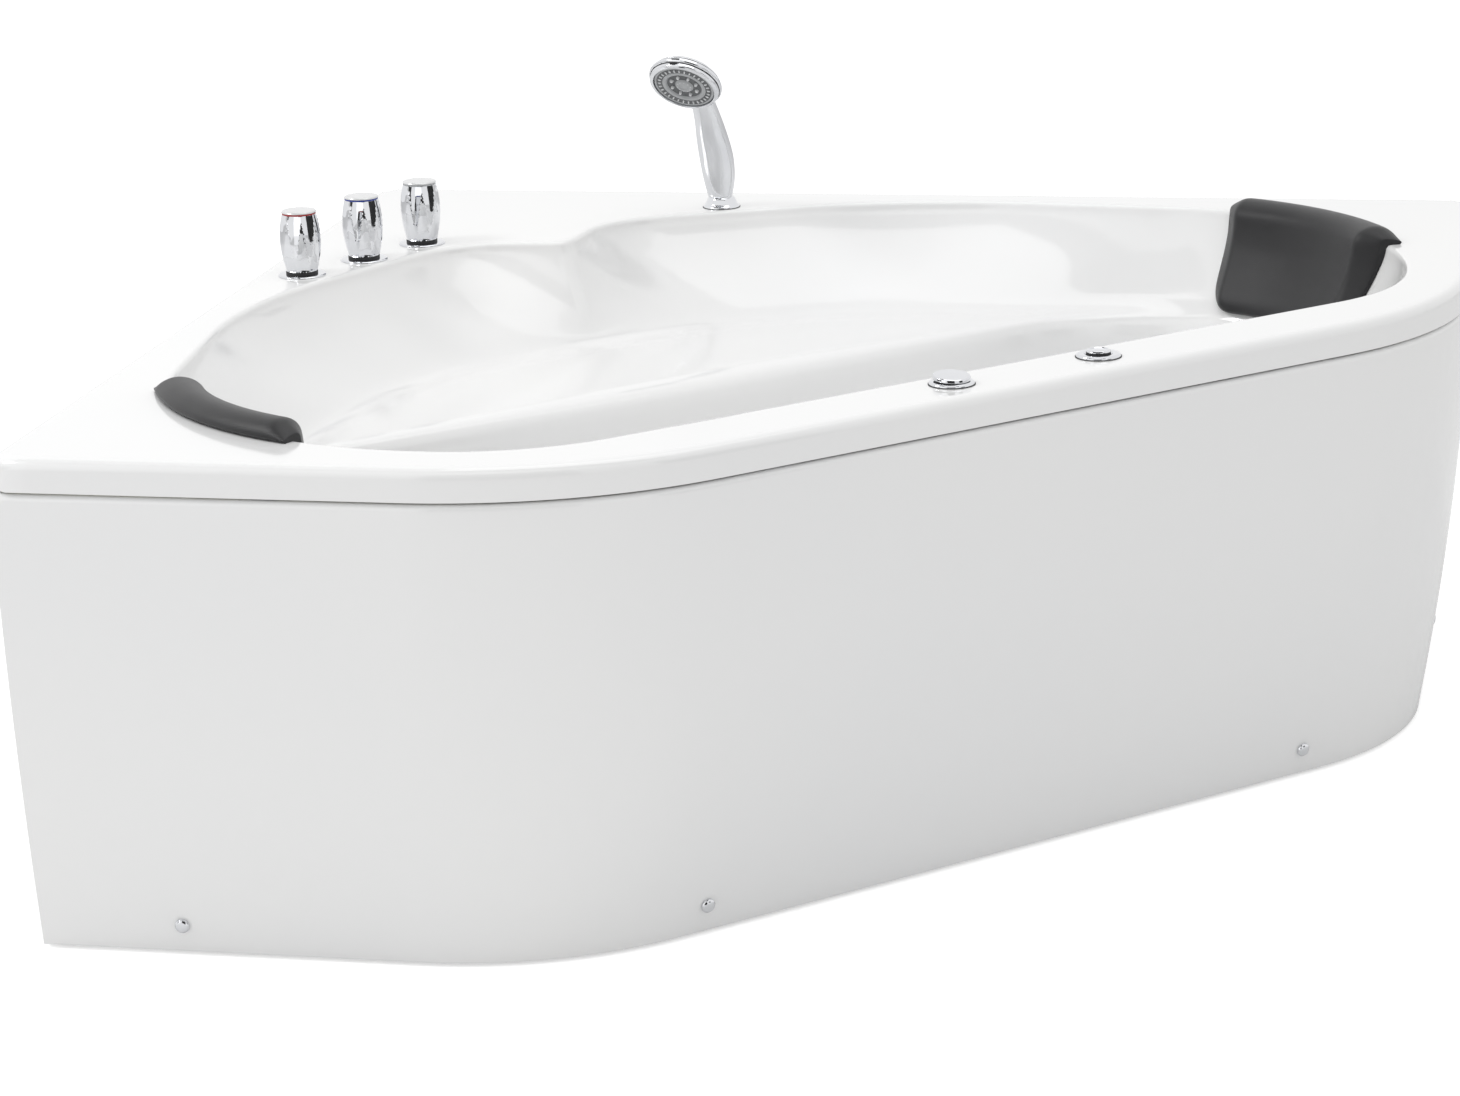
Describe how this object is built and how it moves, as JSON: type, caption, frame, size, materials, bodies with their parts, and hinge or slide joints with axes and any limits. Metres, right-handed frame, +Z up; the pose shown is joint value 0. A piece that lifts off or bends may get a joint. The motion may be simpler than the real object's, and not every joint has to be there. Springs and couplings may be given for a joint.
{
  "type": "corner bathtub",
  "caption": "Five-sided corner bathtub with fitted front apron, corner seat, soft headrests, deck-mounted taps, hand shower, air regulator, pump button, waste and carrying frame.",
  "frame": {"origin": "on the floor, under the middle of the square that the tub's two walls and two ends span", "axes": "+Z up, +X along the back wall of the room to the right, +Y towards the back wall; the room's corner is at (-X, +Y) and the front faces (+X, -Y)"},
  "size_m": [1.5, 1.5, 0.7885],
  "materials": {
    "acrylic": "glossy white sanitary acrylic",
    "board": "raw particle board",
    "brass": "machined brass",
    "cap_white": "pale satin cap",
    "chrome": "polished chrome plate",
    "cold_blue": "blue plastic",
    "cushion": "matt dark grey moulded foam skin",
    "foot_rubber": "matt black rubber",
    "frame_paint": "light grey powder coat",
    "hot_red": "red plastic",
    "nozzle_grey": "soft grey silicone",
    "pipe_plastic": "plain pale plastic",
    "plain_ring": "grey plastic",
    "spray_grey": "satin grey plastic",
    "zinc": "zinc plated steel"
  },
  "bodies": {
    "tub": {"apron_brackets": "zinc", "apron_clips": "zinc", "apron_panel": "acrylic", "apron_screw_caps": "chrome", "apron_screws": "zinc", "base_board": "board", "deck_nuts": "zinc", "deck_rings": "chrome", "drain_body": "pipe_plastic", "drain_flange": "chrome", "drain_gasket": "foot_rubber", "drain_trap": "pipe_plastic", "fitting_bodies": "pipe_plastic", "foot_pads": "foot_rubber", "frame_back_rail": "frame_paint", "frame_cross_rails": "frame_paint", "frame_front_rail": "frame_paint", "frame_left_end_rail": "frame_paint", "frame_left_rail": "frame_paint", "frame_right_end_rail": "frame_paint", "frame_uprights": "frame_paint", "handset_base": "chrome", "headrest_left": "cushion", "headrest_right": "cushion", "leg_nuts": "zinc", "leg_studs": "zinc", "mixer_pipe": "brass", "overflow_body": "pipe_plastic", "overflow_pipe": "pipe_plastic", "seat_struts": "frame_paint", "tap_flanges": "chrome", "tap_valves": "brass", "tub_shell": "acrylic"},
    "hot_tap": {"hot_knob": "chrome", "hot_ring": "hot_red", "hot_cap": "cap_white", "hot_spindle": "brass"},
    "cold_tap": {"cold_knob": "chrome", "cold_ring": "cold_blue", "cold_cap": "cap_white", "cold_spindle": "brass"},
    "diverter_tap": {"diverter_knob": "chrome", "diverter_ring": "plain_ring", "diverter_cap": "cap_white", "diverter_spindle": "brass"},
    "handset": {"handset_body": "chrome"},
    "spray_plate": {"spray_face": "spray_grey", "spray_nozzles": "nozzle_grey"},
    "air_regulator": {"air_knob": "chrome"},
    "pump_button": {"push_button": "chrome"},
    "overflow_control": {"overflow_knob": "chrome"},
    "plug": {"drain_plug": "chrome"}
  },
  "joints": [
    {"name": "hot_turn", "type": "hinge", "parent": "tub", "child": "hot_tap", "pos_m": [-0.688, 0.173, 0.565], "axis": [0, 0, 1], "range_deg": [0, 90]},
    {"name": "cold_turn", "type": "hinge", "parent": "tub", "child": "cold_tap", "pos_m": [-0.636, 0.271, 0.565], "axis": [0, 0, 1], "range_deg": [0, 90]},
    {"name": "diverter_turn", "type": "hinge", "parent": "tub", "child": "diverter_tap", "pos_m": [-0.589, 0.376, 0.565], "axis": [0, 0, 1], "range_deg": [-45, 45]},
    {"name": "handset_lift", "type": "slide", "parent": "tub", "child": "handset", "axis": [0, 0, 1], "range_m": [0, 0.06]},
    {"name": "spray_select", "type": "hinge", "parent": "handset", "child": "spray_plate", "pos_m": [-0.26846, 0.52393, 0.744], "axis": [-0.1299, -0.7149, -0.6871], "range_deg": [0, 60]},
    {"name": "air_turn", "type": "hinge", "parent": "tub", "child": "air_regulator", "pos_m": [0.20957, -0.33543, 0.565], "axis": [0, 0, 1], "range_deg": [0, 120]},
    {"name": "button_press", "type": "slide", "parent": "tub", "child": "pump_button", "axis": [0, 0, -1], "range_m": [0, 0.004], "stiffness_N_per_m": 800, "springref_m": -0.001},
    {"name": "overflow_turn", "type": "hinge", "parent": "tub", "child": "overflow_control", "pos_m": [0.24252, -0.24252, 0.497], "axis": [-0.7071, 0.7071, 0], "range_deg": [0, 90]},
    {"name": "plug_lift", "type": "slide", "parent": "tub", "child": "plug", "axis": [0, 0, 1], "range_m": [0, 0.0081]}
  ],
  "couplings": [
    {"joint": "plug_lift", "follows": "overflow_turn", "m_per_rad": 0.00509}
  ]
}
